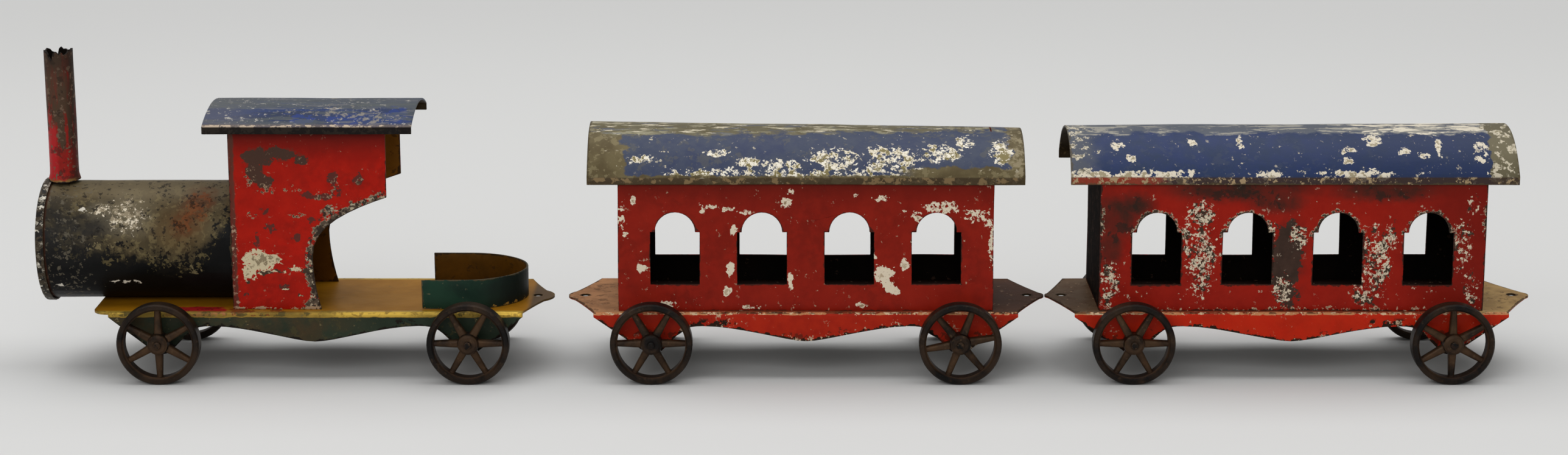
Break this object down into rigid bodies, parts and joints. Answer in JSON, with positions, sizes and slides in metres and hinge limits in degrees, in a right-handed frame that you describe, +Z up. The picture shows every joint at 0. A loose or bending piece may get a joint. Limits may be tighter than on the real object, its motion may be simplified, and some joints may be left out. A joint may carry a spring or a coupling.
{
  "type": "tin toy train",
  "caption": "Tinplate toy train: a locomotive with boiler, chimney and open cab, and passenger coaches with arched windows, on free-turning spoked iron wheels.",
  "frame": {"origin": "on the floor under the middle of the train's length and width", "axes": "+X runs along the train from the locomotive to the last coach, so the train faces -X; +Y is the train's right side; +Z is up"},
  "size_m": [0.4588, 0.0616, 0.0984],
  "materials": {
    "red_paint": "worn brick-red paint chipped to cream and dark tin",
    "orange_red_paint": "worn orange-red paint with dark rubbed edges, bare tan tin at the ends",
    "blue_paint": "faded blue paint flaked to cream and olive bare tin",
    "green_paint": "dark green paint, gold lacquer on top",
    "black_paint": "sooty black paint, rubbed to olive brown",
    "chimney_paint": "red paint worn to dark brown",
    "cast_iron": "dark brown cast iron, rubbed bright on the rims"
  },
  "bodies": {
    "locomotive": {"loco_frame": "green_paint", "boiler_barrel": "black_paint", "boiler_front_cap": "black_paint", "chimney": "chimney_paint", "cab_body": "red_paint", "cab_roof": "blue_paint", "tender_fence": "green_paint"},
    "loco_front_wheelset": {"loco_front_axle": "cast_iron", "loco_front_left_wheel": "cast_iron", "loco_front_right_wheel": "cast_iron"},
    "loco_rear_wheelset": {"loco_rear_axle": "cast_iron", "loco_rear_left_wheel": "cast_iron", "loco_rear_right_wheel": "cast_iron"},
    "coach_1": {"coach_1_frame": "orange_red_paint", "coach_1_left_side": "red_paint", "coach_1_right_side": "red_paint", "coach_1_front_end": "black_paint", "coach_1_rear_end": "black_paint", "coach_1_roof": "blue_paint"},
    "coach_1_front_wheelset": {"coach_1_front_axle": "cast_iron", "coach_1_front_left_wheel": "cast_iron", "coach_1_front_right_wheel": "cast_iron"},
    "coach_1_rear_wheelset": {"coach_1_rear_axle": "cast_iron", "coach_1_rear_left_wheel": "cast_iron", "coach_1_rear_right_wheel": "cast_iron"},
    "coach_2": {"coach_2_frame": "orange_red_paint", "coach_2_left_side": "red_paint", "coach_2_right_side": "red_paint", "coach_2_front_end": "black_paint", "coach_2_rear_end": "black_paint", "coach_2_roof": "blue_paint"},
    "coach_2_front_wheelset": {"coach_2_front_axle": "cast_iron", "coach_2_front_left_wheel": "cast_iron", "coach_2_front_right_wheel": "cast_iron"},
    "coach_2_rear_wheelset": {"coach_2_rear_axle": "cast_iron", "coach_2_rear_left_wheel": "cast_iron", "coach_2_rear_right_wheel": "cast_iron"}
  },
  "joints": [
    {"name": "loco_front_spin", "type": "hinge", "parent": "locomotive", "child": "loco_front_wheelset", "pos_m": [-0.1914, 0, 0.0125], "axis": [0, 1, 0], "continuous": true},
    {"name": "loco_rear_spin", "type": "hinge", "parent": "locomotive", "child": "loco_rear_wheelset", "pos_m": [-0.0976, 0, 0.0125], "axis": [0, 1, 0], "continuous": true},
    {"name": "coach_1_front_spin", "type": "hinge", "parent": "coach_1", "child": "coach_1_front_wheelset", "pos_m": [-0.0421, 0, 0.0125], "axis": [0, 1, 0], "continuous": true},
    {"name": "coach_1_rear_spin", "type": "hinge", "parent": "coach_1", "child": "coach_1_rear_wheelset", "pos_m": [0.0515, 0, 0.0125], "axis": [0, 1, 0], "continuous": true},
    {"name": "coach_2_front_spin", "type": "hinge", "parent": "coach_2", "child": "coach_2_front_wheelset", "pos_m": [0.1041, 0, 0.0125], "axis": [0, 1, 0], "continuous": true},
    {"name": "coach_2_rear_spin", "type": "hinge", "parent": "coach_2", "child": "coach_2_rear_wheelset", "pos_m": [0.2007, 0, 0.0125], "axis": [0, 1, 0], "continuous": true},
    {"name": "coach_1_swing", "type": "hinge", "parent": "locomotive", "child": "coach_1", "pos_m": [-0.071, 0, 0.0207], "axis": [0, 0, 1], "range_deg": [-25, 25]},
    {"name": "coach_2_swing", "type": "hinge", "parent": "coach_1", "child": "coach_2", "pos_m": [0.07885, 0, 0.0207], "axis": [0, 0, 1], "range_deg": [-25, 25]}
  ]
}
